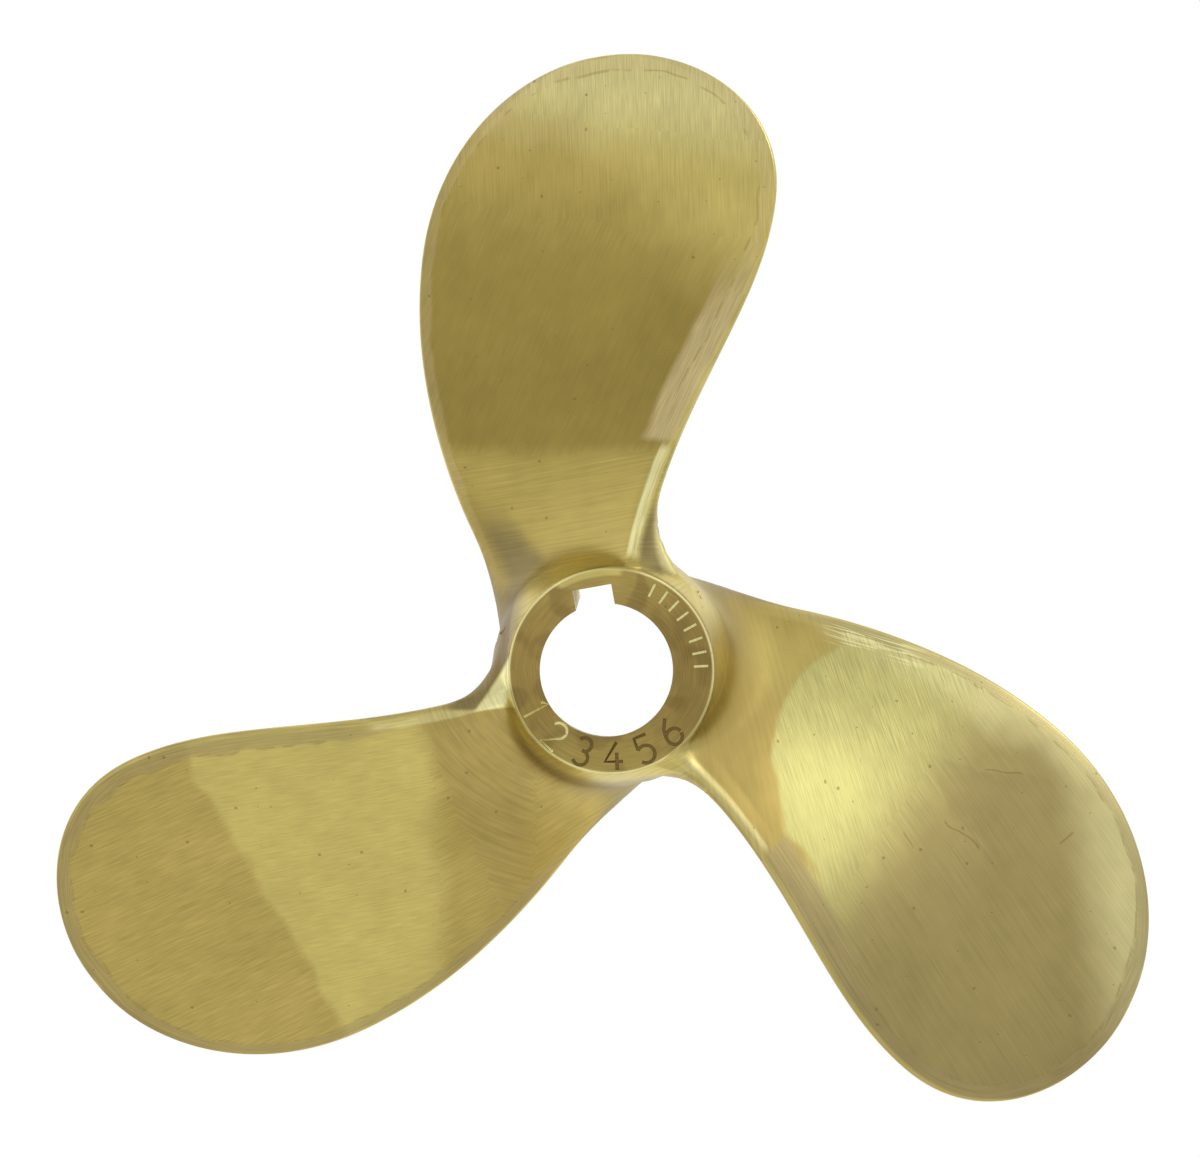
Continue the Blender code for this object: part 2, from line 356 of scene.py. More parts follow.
def root_difference(number, radius):
    """This blade's own shift along the chord and growth at both ends."""
    fade = (1 - blade_share(radius)) ** ROOT_FADE
    return BLADE_ROOT_SHIFTS[number] * fade, BLADE_ROOT_GROWTHS[number] * fade


def widened(number, radius, side, place, height):
    """A section's point, moved out by its fillet at this height and by the root's difference."""
    (chord, aft), out = section_point(radius, side, place)
    shift, end = root_difference(number, radius)
    end += fillet_growth(height, LEADING_FILLET if chord > 0 else TRAILING_FILLET)
    fillet = BACK_FILLETS[number]
    if out[1] > 0:
        share = (chord / section_sizes(radius)[0] + 1) / 2
        fillet = lerp(FACE_TRAILING_FILLET, FACE_LEADING_FILLET, min(1.0, max(0.0, share)))
    across = fillet_growth(height, fillet)
    return placed(number, radius, chord + shift + out[0] * end, aft + out[1] * across)


def blade_line(number, side, place):
    """Points along the blade, from inside the hub over the fillet to the tip."""
    core, _ = section_point(CORE_RADIUS, side, place)
    line = [placed(number, CORE_RADIUS, *core), widened(number, SINK_RADIUS, side, place, 0.0)]
    radius = ROOT_RADIUS
    for step in range(FILLET_STEPS + 1):
        height = LEADING_FILLET * (1 - math.cos(math.pi / 2 * step / FILLET_STEPS))
        for _ in range(FOOT_TRIES):
            point = widened(number, radius, side, place, height)
            radius -= above_hub(*point) - height
        line.append(point)
    start = ROOT_RADIUS + LEADING_FILLET
    beyond = radius - start
    rounding_start = TIP_RADIUS - TIP_EDGE / 2
    for step in range(1, BLADE_STEPS + 1):
        radius = lerp(start, rounding_start, math.sin(math.pi / 2 * step / BLADE_STEPS))
        radius += beyond * max(0.0, 1 - (radius - start) / FOOT_FADE) ** 2
        line.append(widened(number, radius, side, place, radius))
    for step in range(1, TIP_STEPS):
        radius = rounding_start + TIP_EDGE / 2 * math.sin(math.pi / 2 * step / TIP_STEPS)
        line.append(widened(number, radius, side, place, radius))
    return line


def lofted(name, rings, tip=None):
    """A closed mesh through rings of equal length, with flat ends or a tip point."""
    count = len(rings[0])
    points = [point for ring in rings for point in ring]
    faces = [tuple(reversed(range(count)))]
    for ring in range(len(rings) - 1):
        low = ring * count
        for index in range(count):
            following = (index + 1) % count
            faces.append((low + index, low + following, low + count + following, low + count + index))
    last = (len(rings) - 1) * count
    if tip is None:
        faces.append(tuple(range(last, last + count)))
    else:
        points.append(tip)
        for index in range(count):
            faces.append((last + index, last + (index + 1) % count, len(points) - 1))
    data = bpy.data.meshes.new(name)
    data.from_pydata([(x * MM, y * MM, z * MM) for x, y, z in points], [], faces)
    made = bpy.data.objects.new(name, data)
    bpy.context.scene.collection.objects.link(made)
    return made


def make_blade(number):
    """One blade with its fillets, closed."""
    lines = [blade_line(number, side, place) for side, place in section_places()]
    return lofted(f"blade_form_{number + 1}", list(zip(*lines)), tip=placed(number, TIP_RADIUS, 0.0, 0.0))


def turned(name, profile, centre, segments):
    """A closed solid turned round a vertical axis from (radius, height) points."""
    rings = []
    for radius, height in profile:
        ring = []
        for step in range(segments):
            turn = 2 * math.pi * step / segments
            ring.append((centre[0] + radius * math.cos(turn), centre[1] + radius * math.sin(turn), height))
        rings.append(ring)
    return lofted(name, rings)


def make_hub_body():
    """The rough hub, long at the forward end for facing and with a rounded aft shoulder."""
    profile = [(BODY_FORWARD_RADIUS, HUB_FORWARD_Z - CUTTER_OVERRUN)]
    for step in range(HUB_STEPS + 1):
        height = lerp(HUB_FORWARD_Z, SHOULDER_Z, step / HUB_STEPS)
        profile.append((body_radius(height), height))
    for step in range(1, SHOULDER_STEPS + 1):
        turn = math.pi / 2 * step / SHOULDER_STEPS
        inward = SHOULDER_ROUND * (1 - math.cos(turn))
        profile.append((BODY_AFT_RADIUS - inward, SHOULDER_Z + SHOULDER_ROUND * math.sin(turn)))
    return turned("casting", profile, HUB_CENTRE, HUB_SEGMENTS)


def make_nose():
    """The ring that stands proud of the faced aft end."""
    profile = [
        (NOSE_RADIUS, LAND_Z - CUTTER_OVERRUN),
        (NOSE_RADIUS, HUB_AFT_Z - NOSE_CHAMFER),
        (NOSE_RADIUS - NOSE_CHAMFER, HUB_AFT_Z),
    ]
    return turned("nose_form", profile, HUB_CENTRE, HUB_SEGMENTS)


def make_forward_facing():
    """Faces the forward end and chamfers its rim."""
    flat = BODY_FORWARD_RADIUS - FORWARD_CHAMFER
    land = HUB_FORWARD_Z + FORWARD_CHAMFER
    profile = [
        (flat, HUB_FORWARD_Z - FACING_REACH),
        (flat + FACING_REACH, HUB_FORWARD_Z - FACING_REACH),
        (flat + FACING_REACH, land),
        (BODY_FORWARD_RADIUS, land),
        (flat, HUB_FORWARD_Z),
    ]
    return turned("forward_facing", profile, HUB_CENTRE, HUB_SEGMENTS)


def make_bore_cutter():
    """A cone for the tapered bore."""
    forward = BORE_AFT_RADIUS + (HUB_LENGTH + CUTTER_OVERRUN) * BORE_TAPER / 2
    aft = BORE_AFT_RADIUS - CUTTER_OVERRUN * BORE_TAPER / 2
    profile = [
        (forward, HUB_FORWARD_Z - CUTTER_OVERRUN),
        (aft, HUB_AFT_Z + CUTTER_OVERRUN),
    ]
    return turned("bore_cutter", profile, (0.0, 0.0), BORE_SEGMENTS)


def make_keyway_cutter():
    """A straight-sided bar whose top follows the bore's taper."""
    length = HUB_LENGTH + 2 * CUTTER_OVERRUN
    top_aft = KEYWAY_TOP - CUTTER_OVERRUN * BORE_TAPER / 2
    top_forward = top_aft + length * BORE_TAPER / 2
    half = KEYWAY_WIDTH / 2
    turn = math.radians(KEYWAY_ANGLE)
    rings = []
    for height, top in (
        (HUB_FORWARD_Z - CUTTER_OVERRUN, top_forward),
        (HUB_AFT_Z + CUTTER_OVERRUN, top_aft),
    ):
        ring = []
        for out, side in ((0.0, -half), (top, -half), (top, half), (0.0, half)):
            x = out * math.cos(turn) - side * math.sin(turn)
            y = out * math.sin(turn) + side * math.cos(turn)
            ring.append((x, y, height))
        rings.append(ring)
    return lofted("keyway_cutter", rings)


def joined(name, forms):
    """One object with the meshes of several forms in their places, which it replaces."""
    mesh = bmesh.new()
    for form in forms:
        data = form.data.copy()
        data.transform(form.matrix_basis)
        mesh.from_mesh(data)
        bpy.data.objects.remove(form, do_unlink=True)
    bmesh.ops.remove_doubles(mesh, verts=mesh.verts, dist=0.001 * MM)
    bmesh.ops.recalc_face_normals(mesh, faces=mesh.faces)
    data = bpy.data.meshes.new(name)
    mesh.to_mesh(data)
    mesh.free()
    made = bpy.data.objects.new(name, data)
    bpy.context.scene.collection.objects.link(made)
    return made


def on_hub_face(angle, radius, turn):
    """Place on the aft end at this angle and radius, turned in its plane by an angle."""
    x = HUB_CENTRE[0] + radius * math.cos(math.radians(angle))
    y = HUB_CENTRE[1] + radius * math.sin(math.radians(angle))
    return Matrix.Translation(Vector((x, y, HUB_AFT_Z)) * MM) @ Matrix.Rotation(math.radians(turn), 4, "Z")


def arc(x, y, radius, start, end):
    """Points round part of a circle, between two angles."""
    steps = max(2, round(abs(end - start) / ARC_STEP))
    turns = [math.radians(lerp(start, end, step / steps)) for step in range(steps + 1)]
    return [(x + radius * math.cos(turn), y + radius * math.sin(turn)) for turn in turns]


def digit_strokes(digit):
    """Strokes of a plain digit that is 1 high, round its middle."""
    strokes = {
        1: [[(-0.18, 0.82), (0.0, 1.0), (0.0, 0.0)]],
        2: [arc(0.0, 0.7, 0.29, 165, -35) + [(-0.3, 0.0), (0.32, 0.0)]],
        3: [arc(0.0, 0.75, 0.25, 150, -90), arc(0.0, 0.25, 0.27, 95, -150)],
        4: [[(0.12, 1.0), (-0.32, 0.3), (0.34, 0.3)], [(0.12, 0.62), (0.12, 0.0)]],
        5: [[(0.26, 1.0), (-0.2, 1.0), (-0.22, 0.55)], arc(0.0, 0.32, 0.32, 135, -140)],
        6: [arc(0.0, 0.29, 0.29, 0, 345), [(0.2, 1.0), (-0.12, 0.72), (-0.27, 0.42)]],
    }
    return [[(x, y - 0.5) for x, y in stroke] for stroke in strokes[digit]]


def make_groove(points, place, radius):
    """A round cutter that follows a stroke at the surface, in this place."""
    data = bpy.data.curves.new("groove", "CURVE")
    data.dimensions = "3D"
    data.bevel_depth = radius * MM
    data.bevel_resolution = 2
    data.use_fill_caps = True
    spline = data.splines.new("POLY")
    spline.points.add(len(points) - 1)
    for point, (x, y) in zip(spline.points, points):
        point.co = (x * MM, y * MM, GROOVE_LIFT * MM, 1.0)
    source = bpy.data.objects.new("groove_curve", data)
    bpy.context.scene.collection.objects.link(source)
    graph = bpy.context.evaluated_depsgraph_get()
    made = bpy.data.objects.new("groove_form", bpy.data.meshes.new_from_object(source.evaluated_get(graph)))
    bpy.data.objects.remove(source, do_unlink=True)
    bpy.context.scene.collection.objects.link(made)
    made.matrix_basis = place
    return made


def make_stamps():
    """Plain digits round the lower side of the aft end, and a plain scale round the upper right."""
    first, second = [], []
    for number in range(DIGITS):
        angle = DIGITS_START + number * DIGITS_STEP
        place = on_hub_face(angle, DIGITS_RADIUS, angle + 90)
        for forms, stroke in zip((first, second), digit_strokes(number + 1)):
            points = [(x * DIGIT_HEIGHT, y * DIGIT_HEIGHT) for x, y in stroke]
            forms.append(make_groove(points, place, DIGIT_GROOVE))
    for number in range(TICKS):
        angle = TICKS_START - number * TICKS_STEP
        points = [(-TICK_LENGTH / 2, 0.0), (TICK_LENGTH / 2, 0.0)]
        first.append(make_groove(points, on_hub_face(angle, TICKS_RADIUS, angle), TICK_GROOVE))
    return [joined("stamp_cutter", first), joined("cross_stroke_cutter", second)]


def in_order(data):
    """The same mesh with its parts in order of place, because a Boolean returns them in any order."""
    order = sorted(range(len(data.vertices)), key=lambda index: data.vertices[index].co[:])
    ranks = {index: rank for rank, index in enumerate(order)}
    faces = []
    for face in data.polygons:
        corners = [ranks[index] for index in face.vertices]
        start = corners.index(min(corners))
        faces.append(corners[start:] + corners[:start])
    made = bpy.data.meshes.new(data.name)
    made.from_pydata([data.vertices[index].co for index in order], [], sorted(faces))
    return made


def boolean(target, others, operation):
    """Replaces the target's mesh with the result, and removes the other forms."""
    for other in others:
        modifier = target.modifiers.new(other.name, "BOOLEAN")
        modifier.operation = operation
        modifier.solver = "EXACT"
        modifier.object = other
    graph = bpy.context.evaluated_depsgraph_get()
    result = bpy.data.meshes.new_from_object(target.evaluated_get(graph))
    old = target.data
    target.modifiers.clear()
    target.data = in_order(result)
    bpy.data.meshes.remove(old)
    bpy.data.meshes.remove(result)
    for other in others:
        bpy.data.objects.remove(other, do_unlink=True)


def surface_tree(form):
    """A tree for nearest-point tests on a form's surface, in millimetres."""
    points = [vertex.co / MM for vertex in form.data.vertices]
    faces = [tuple(face.vertices) for face in form.data.polygons]
    return BVHTree.FromPolygons(points, faces)


def blended_distance(point, trees):
    """Distance outside the smoothly blended forms, and its direction of growth."""
    total = None
    for tree in trees:
        nearest, normal, _, distance = tree.find_nearest(point)
        offset = point - nearest
        outside = distance > SKIN_DEPTH or offset.dot(normal) >= 0
        if distance > TOUCHING:
            direction = offset / distance if outside else -offset / distance
        else:
            direction = normal
        value = distance if outside else -distance
        if total is None:
            total, heading = value, direction
            continue
        share = max(0.0, 1 - abs(total - value) / SEAM_BLEND)
        mix = share / 2 if total < value else 1 - share / 2
        total = min(total, value) - share**2 * SEAM_BLEND / 4
        heading = heading * (1 - mix) + direction * mix
    return total, heading


def wanted_edge(point):
    """Edge length for the even mesh at this place."""
    to_ring = math.hypot(point.x - HUB_CENTRE[0], point.y - HUB_CENTRE[1]) - NOSE_RADIUS
    to_ring = math.hypot(to_ring, point.z - LAND_Z)
    return lerp(RING_EDGE, EVEN_EDGE, min(1.0, to_ring / RING_REACH))


def is_near_hub(vertex):
    """Whether a vertex lies where the mesh is remade."""
    return math.hypot(vertex.co.x / MM - HUB_CENTRE[0], vertex.co.y / MM - HUB_CENTRE[1]) < SEAM_REACH


def edge_ratio(edge):
    """Length of an edge against the length wanted there."""
    first, second = edge.verts
    return edge.calc_length() / MM / wanted_edge((first.co + second.co) / 2 / MM)


def is_inner(edge):
    """Whether both faces beside an edge lie wholly near the hub."""
    return len(edge.link_faces) == 2 and all(v.tag for face in edge.link_faces for v in face.verts)


def split_long_edges(mesh):
    """Halves long edges, and triangulates what that leaves."""
    long = [edge for edge in mesh.edges if is_inner(edge) and edge_ratio(edge) > LONG_EDGE]
    made = bmesh.ops.subdivide_edges(mesh, edges=long, cuts=1)
    for part in made["geom_inner"]:
        if isinstance(part, bmesh.types.BMVert):
            part.tag = True
    wide = [face for face in mesh.faces if len(face.verts) > 3 and all(v.tag for v in face.verts)]
    bmesh.ops.triangulate(mesh, faces=wide)


def collapse_short_edges(mesh):
    """Collapses short edges that share no neighbour, so that the mesh stays closed."""
    taken = set()
    short = []
    for edge in mesh.edges:
        if not is_inner(edge) or edge_ratio(edge) > SHORT_EDGE:
            continue
        first, second = edge.verts
        around_first = {e.other_vert(first) for e in first.link_edges}
        around_second = {e.other_vert(second) for e in second.link_edges}
        around = around_first | around_second
        if len(around_first & around_second) != 2 or around & taken:
            continue
        if not all(v.tag for v in around):
            continue
        taken |= around
        short.append(edge)
    bmesh.ops.collapse(mesh, edges=short)


def settle(mesh, trees, steps):
    """Evens the vertices out and brings them onto the blended surface."""
    moving = [v for v in mesh.verts if v.tag and all(e.other_vert(v).tag for e in v.link_edges)]
    places = []
    for vertex in moving:
        around = [edge.other_vert(vertex).co for edge in vertex.link_edges]
        places.append(vertex.co.lerp(sum(around, Vector()) / len(around), EVENING))
    for vertex, place in zip(moving, places):
        point = place / MM
        for _ in range(steps):
            distance, heading = blended_distance(point, trees)
            size = heading.length_squared
            if size > 0.05:
                point = point - heading * (distance / size)
        vertex.co = point * MM


def smooth_seams(casting, trees):
    """Remakes the mesh round the hub on the blended surface, with even triangles."""
    mesh = bmesh.new()
    mesh.from_mesh(casting.data)
    for vertex in mesh.verts:
        vertex.tag = is_near_hub(vertex)
    bmesh.ops.triangulate(mesh, faces=[face for face in mesh.faces if all(v.tag for v in face.verts)])
    for number in range(EVEN_PASSES):
        split_long_edges(mesh)
        collapse_short_edges(mesh)
        inner = [edge for edge in mesh.edges if is_inner(edge)]
        bmesh.ops.beautify_fill(mesh, faces=mesh.faces, edges=inner)
        settle(mesh, trees, 1 if number < EVEN_PASSES - 2 else 3)
    mesh.normal_update()
    mesh.to_mesh(casting.data)
    mesh.free()


def make_casting():
    """Hub and blades in one, with blended seams, and then turned, stamped and bored."""
    casting = make_hub_body()
    blades = [make_blade(number) for number in range(len(BLADE_ANGLES))]
    trees = [surface_tree(form) for form in [casting] + blades]
    boolean(casting, blades, "UNION")
    smooth_seams(casting, trees)
    boolean(casting, [make_forward_facing()], "DIFFERENCE")
    boolean(casting, [make_nose()], "UNION")
    boolean(casting, make_stamps(), "DIFFERENCE")
    boolean(casting, [make_bore_cutter(), make_keyway_cutter()], "DIFFERENCE")
    casting.data.shade_smooth()
    casting.data.set_sharp_from_angle(angle=math.radians(SHARP_ANGLE))
    return casting


def blade_place(number, x, y, z):
    """Radius, place along the chord and turn from the middle of the section on this blade."""
    turn = math.radians(BLADE_ANGLES[number])
    x, y = x - BLADES_CENTRE[0], y - BLADES_CENTRE[1]
    along = x * math.cos(turn) + y * math.sin(turn)
    across = y * math.cos(turn) - x * math.sin(turn)
    reach = math.hypot(along, across)
    radius = min(TIP_RADIUS, reach - BLADE_GROWTHS[number] * blade_share(reach))
    skew = blade_skew(radius)
    slope = math.atan2(PITCH / (2 * math.pi), max(radius, CORE_RADIUS))
    around = math.atan2(across, along) - skew
    lift = z - BLADE_PLANE_Z + PITCH * skew / (2 * math.pi) - RAKE * (radius - RAKE_RADIUS)
    return radius, around * radius * math.cos(slope) - lift * math.sin(slope), abs(around)


def rim_place(x, y, z):
    """Distance from a place on a blade to the blade's outline, and place along the chord."""
    places = [blade_place(number, x, y, z) + (number,) for number in range(len(BLADE_ANGLES))]
    radius, chord, _, number = min(places, key=lambda place: place[2])
    slope = math.atan2(PITCH / (2 * math.pi), max(radius, CORE_RADIUS))
    half, inward = [blade_width(at) / (2 * math.cos(slope)) for at in (radius, radius - 0.1)]
    shift, growth = root_difference(number, radius)
    inside = (half + growth - abs(chord - shift)) / math.hypot(1.0, (half - inward) / 0.1)
    return min(inside, TIP_RADIUS - radius), chord


def convexity(vertex):
    """How strongly the surface turns away from a vertex, in radians a millimetre."""
    total = 0.0
    for edge in vertex.link_edges:
        offset = (edge.other_vert(vertex).co - vertex.co) / MM
        total -= 2 * offset.dot(vertex.normal) / offset.length_squared
    return total / len(vertex.link_edges)


def softened(values, around):
    """Each value, mixed half and half with the mean of its neighbours."""
    means = [sum(values[index] for index in near) / len(near) for near in around]
    return [(value + mean) / 2 for value, mean in zip(values, means)]


def mark_places(casting):
    """Stores what the finish goes by: places on the blade, facing aft, and convexity."""
    mesh = bmesh.new()
    mesh.from_mesh(casting.data)
    mesh.normal_update()
    rim, chord = zip(*[rim_place(*(vertex.co / MM)) for vertex in mesh.verts])
    facing = [vertex.normal.z for vertex in mesh.verts]
    convex = [convexity(vertex) for vertex in mesh.verts]
    around = [[edge.other_vert(vertex).index for edge in vertex.link_edges] for vertex in mesh.verts]
    for _ in range(2):
        convex = softened(convex, around)
    mesh.free()
    for name, values in (("rim", rim), ("chord", chord), ("facing", facing), ("convex", convex)):
        casting.data.attributes.new(name, "FLOAT", "POINT").data.foreach_set("value", values)


class Value:
    """A shader value that takes plain arithmetic."""

    def __init__(self, tree, socket):
        self.tree = tree
        self.socket = socket

    def math(self, operation, *others):
        node = self.tree.nodes.new("ShaderNodeMath")
        node.operation = operation
        for socket, value in zip(node.inputs, (self,) + others):
            feed(self.tree, socket, value)
        return Value(self.tree, node.outputs[0])

    def __add__(self, other):
        return self.math("ADD", other)

    def __sub__(self, other):
        return self.math("SUBTRACT", other)

    def __mul__(self, other):
        return self.math("MULTIPLY", other)

    def step(self, start, end):
        """Smoothly from 0 at the start to 1 at the end."""
        node = self.tree.nodes.new("ShaderNodeMapRange")
        node.interpolation_type = "SMOOTHSTEP"
        feed(self.tree, node.inputs["Value"], self)
        node.inputs["From Min"].default_value = start
        node.inputs["From Max"].default_value = end
        return Value(self.tree, node.outputs["Result"])

    def near(self, middle, outer, inner):
        """1 within the inner distance of the middle, and 0 beyond the outer."""
        return (self - middle).math("ABSOLUTE").step(outer, inner)

    def opposite(self):
        """1 where this is 0, and 0 where it is 1."""
        return self.math("MULTIPLY_ADD", -1.0, 1.0)


def feed(tree, socket, value):
    """Links a shader value to an input, or sets a plain number or colour on it."""
    if isinstance(value, Value):
        tree.links.new(value.socket, socket)
    elif isinstance(value, tuple):
        socket.default_value = (*value, 1.0)
    else:
        socket.default_value = value


def shaded_place(tree, coordinates="Object"):
    """The three coordinates of the shaded place."""
    node = tree.nodes.new("ShaderNodeSeparateXYZ")
    tree.links.new(tree.nodes.new("ShaderNodeTexCoord").outputs[coordinates], node.inputs[0])
    return [Value(tree, socket) for socket in node.outputs]


def stored(tree, name):
    """A value that is stored on the mesh."""
    node = tree.nodes.new("ShaderNodeAttribute")
    node.attribute_name = name
    return Value(tree, node.outputs["Fac"])


def noise(along, across, seed, detail=1.0):
    """Soft noise around zero over two coordinates."""
    tree = along.tree
    combine = tree.nodes.new("ShaderNodeCombineXYZ")
    feed(tree, combine.inputs[0], along + seed)
    feed(tree, combine.inputs[1], across)
    node = tree.nodes.new("ShaderNodeTexNoise")
    node.noise_dimensions = "2D"
    node.inputs["Scale"].default_value = 1.0
    node.inputs["Detail"].default_value = detail
    node.inputs["Roughness"].default_value = 0.6
    tree.links.new(combine.outputs[0], node.inputs["Vector"])
    return Value(tree, node.outputs[0]) - 0.5


def straight(place, angle):
    """Coordinates along and across a direction."""
    x, y = place
    turn = math.radians(angle)
    return x * math.cos(turn) + y * math.sin(turn), y * math.cos(turn) - x * math.sin(turn)


def round_centre(place, centre):
    """Coordinates round a centre, in millimetres at 30 mm from it, and out from it."""
    x, y = place[0] - centre[0], place[1] - centre[1]
    return y.math("ARCTAN2", x) * 30.0, (x * x + y * y).math("SQRT")


def strokes(coordinates, length, width, strength):
    """Grinding strokes along the first coordinate: scaled coordinates, and how strong they are."""
    along, across = coordinates
    return along * (1 / length), across * (1 / width), strength


def left_of(place, first, second, softness):
    """1 to the left of the line from the first to the second point, and 0 to its right."""
    length = math.dist(first, second)
    towards = ((second[0] - first[0]) / length, (second[1] - first[1]) / length)
    distance = (place[1] - first[1]) * towards[0] - (place[0] - first[0]) * towards[1]
    return distance.step(-softness, softness)


def within(place, centre, radius, softness):
    """1 inside a circle and 0 outside it."""
    return round_centre(place, centre)[1].step(radius + softness, radius - softness)


def scratch(place, first, second):
    """1 on a thin line from the first to the second point."""
    length = math.dist(first, second)
    turn = math.degrees(math.atan2(second[1] - first[1], second[0] - first[0]))
    along, across = straight((place[0] - first[0], place[1] - first[1]), turn)
    return across.near(0.0, 0.22, 0.05) * along.near(length / 2, length / 2, length / 2 - 0.8)


def mixed(share, first, second, kind="FLOAT"):
    """The first value where the share is 0 and the second where it is 1."""
    node = share.tree.nodes.new("ShaderNodeMix")
    node.data_type = kind
    start, end, result = {"FLOAT": (2, 3, 0), "RGBA": (6, 7, 2)}[kind]
    feed(share.tree, node.inputs[0], share)
    feed(share.tree, node.inputs[start], first)
    feed(share.tree, node.inputs[end], second)
    return Value(share.tree, node.outputs[result])


class Finish:
    """Colour, roughness and strokes of a surface, laid on region by region."""

    def __init__(self, colour, roughness, grain):
        self.colour = colour
        self.roughness = roughness
        self.along, self.across, self.strength = grain

    def lay(self, mask, colour, roughness, grain=None):
        """Covers the masked region, with strokes of its own where they are given."""
        self.colour = mixed(mask, self.colour, colour, "RGBA")
        self.roughness = mixed(mask, self.roughness, roughness)
        if grain:
            inside = mask.math("GREATER_THAN", 0.5)
            self.along = mixed(inside, self.along, grain[0])
            self.across = mixed(inside, self.across, grain[1])
            self.strength = mixed(mask, self.strength, grain[2])

    def grain(self):
        """The strokes themselves, around zero."""
        return noise(self.along, self.across, 0.5, 2.0) * self.strength


# In the functions that lay a finish, place is where it is in plan, wavy is the same for an uneven edge,
# and face is 1 where the surface faces aft.


def finish_blade_1(finish, place, wavy, face):
    """Ground down from the tip, across at the root."""
    blade = left_of(place, (-40, 12), (40, 20), 4) * face
    finish.lay(blade, UMBER, 0.36, strokes(straight(place, 62), 6.0, 0.4, 0.2))
    outer = left_of(wavy, (-40, 86), (30, 68), 13) * blade
    finish.lay(outer, SATIN, 0.38, strokes(straight(place, 91), 7.0, 0.26, 0.4))
    glow = left_of(wavy, (-6, 98), (28, 56), 9) * blade
    finish.lay(glow, GROUND, 0.4)
    tip = left_of(wavy, (-25, 98), (35, 83), 7) * blade
    finish.lay(tip, BRIGHT, 0.42, strokes(straight(place, 91), 5.0, 0.22, 0.6))
    finish.lay(tip * 0.35, POLISHED, 0.42)
    root = left_of(wavy, (8, 36.5), (-30, 40.5), 2.2) * blade
    finish.lay(root, GOLD, 0.36, strokes(straight(place, 4), 14.0, 0.4, 0.45))
    # Painted shade in the corner to the left of the root, beside the ring
    corner = left_of(wavy, (-14.5, 24), (-24, 29), 4) * left_of(place, (-8, 14), (-14.5, 24), 1.5) * blade
    finish.lay(corner, SHADED, 0.42)


def finish_blade_2(finish, place, wavy, face):
    """A lighter ground patch in the middle, and arcs from the grinder at the root."""
    blade = left_of(place, (-12, -2), (-10, 40), 3) * left_of(place, (10, -50), (-12, -2), 3) * face
    finish.lay(blade, SATIN, 0.4, strokes(straight(place, 24), 5.0, 0.27, 0.55))
    patch = left_of(wavy, (-67, -16), (-48, -60), 1.0) * left_of(wavy, (-30, -70), (-30, -14), 3.0)
    finish.lay(patch * blade, GROUND, 0.42, strokes(straight(place, 8), 4.0, 0.28, 0.35))
    root = left_of(wavy, (-32, -8), (-22, -40), 3.0) * blade
    finish.lay(root * 0.8, TAWNY, 0.36, strokes(round_centre(place, (0, 2)), 9.0, 0.6, 0.45))
    dark = within(wavy, (-27.5, -28), 5.5, 2.5) * blade
    finish.lay(dark * 0.3, UMBER, 0.38)


def finish_blade_3(finish, place, wavy, face):
    """A smooth root, a brightly ground middle and a duller, stained outer part."""
    x, y = place
    blade = left_of(place, (14, 30), (14, -40), 3) * left_of(place, (60, 32), (10, 16), 3) * face
    finish.lay(blade, PALE_GREEN, 0.44, strokes(straight(place, 104), 6.0, 0.28, 0.7))
    outer = left_of(wavy, (74, 2), (34, -42), 9) * blade
    finish.lay(outer, STAINED, 0.4, strokes(straight(place, -58), 12.0, 0.3, 0.25))
    stain = left_of(wavy, (71.5, -18.7), (53.9, -15), 0.4) * left_of(wavy, (53.9, -15), (62.8, -28.9), 0.4)
    finish.lay(stain * within(place, (66, -24), 11, 8) * blade * 0.35, SHADED, 0.42)
    root = within(wavy, (52, -18), 23.5, 0.7).opposite() * x.step(46, 42) * y.step(-36, -30) * blade
    finish.lay(root, TAWNY, 0.4, strokes(straight(place, -80), 10.0, 0.6, 0.2))
    finish.lay(root * within(place, (36, 1), 9, 7) * 0.6, GROUND, 0.42)
    finish.lay(x.step(76, 88) * blade * 0.6, POLISHED, 0.42)
    upper_edge = left_of(wavy, (50, 2.5), (80, -17), 4) * blade
    finish.lay(upper_edge * 0.5, POLISHED, 0.42)


def finish_rims(finish, place, rim, chord, face):
    """Filed bands along the blades' edges, and at each trailing root painted shade on the side beyond the
    ridge and a painted highlight on the ridge.
    """
    x, y = place
    far = round_centre(place, BLADES_CENTRE)[1]
    waver = noise(x * 0.16, y * 0.16, 11.5) * 1.6
    inside = rim + waver
    upper = y.step(5, 25)
    colour = mixed(upper, TAN, PALE, "RGBA")
    filed = strokes((x + y, rim), 9.0, 0.22, 0.7)
    band = inside.step(3.5, 2.4) * far.step(34, 44) * face
    finish.lay(band * (upper * -0.25 + 0.55), colour, 0.4, filed)
    behind = chord.math("LESS_THAN", 0.0) * face
    outward = far + y.step(-5, 5) * 3.7
    trailing = behind * inside.step(6.6, 4.8) * outward.step(40.7, 42.2) * far.step(72, 56)
    finish.lay(trailing * x.step(-10, -6) * 0.9, colour, 0.38, filed)
    root = behind * outward.step(41.6, 39.5)
    # Painted shade on the side of the edge beyond the ridge
    finish.lay(root * rim.step(0.4, 0.0), SHADED, 0.42)
    # A smoother filed ridge with a painted highlight, strongest on the upper blade
    ridge = root * (rim + waver * 0.3).step(2.2, 1.6) * rim.step(0.0, 0.4) * far.step(17, 19)
    finish.lay(ridge * (y.step(0, 15) * 0.6 + 0.4), POLISHED, 0.32, filed)
    line = inside.near(3.0, 0.3, 0.05) * noise(x * 0.3, y * 0.3, 13.9).step(-0.08, 0.06)
    finish.lay(line * far.step(40, 50) * face * 0.45, BROWN, 0.45)


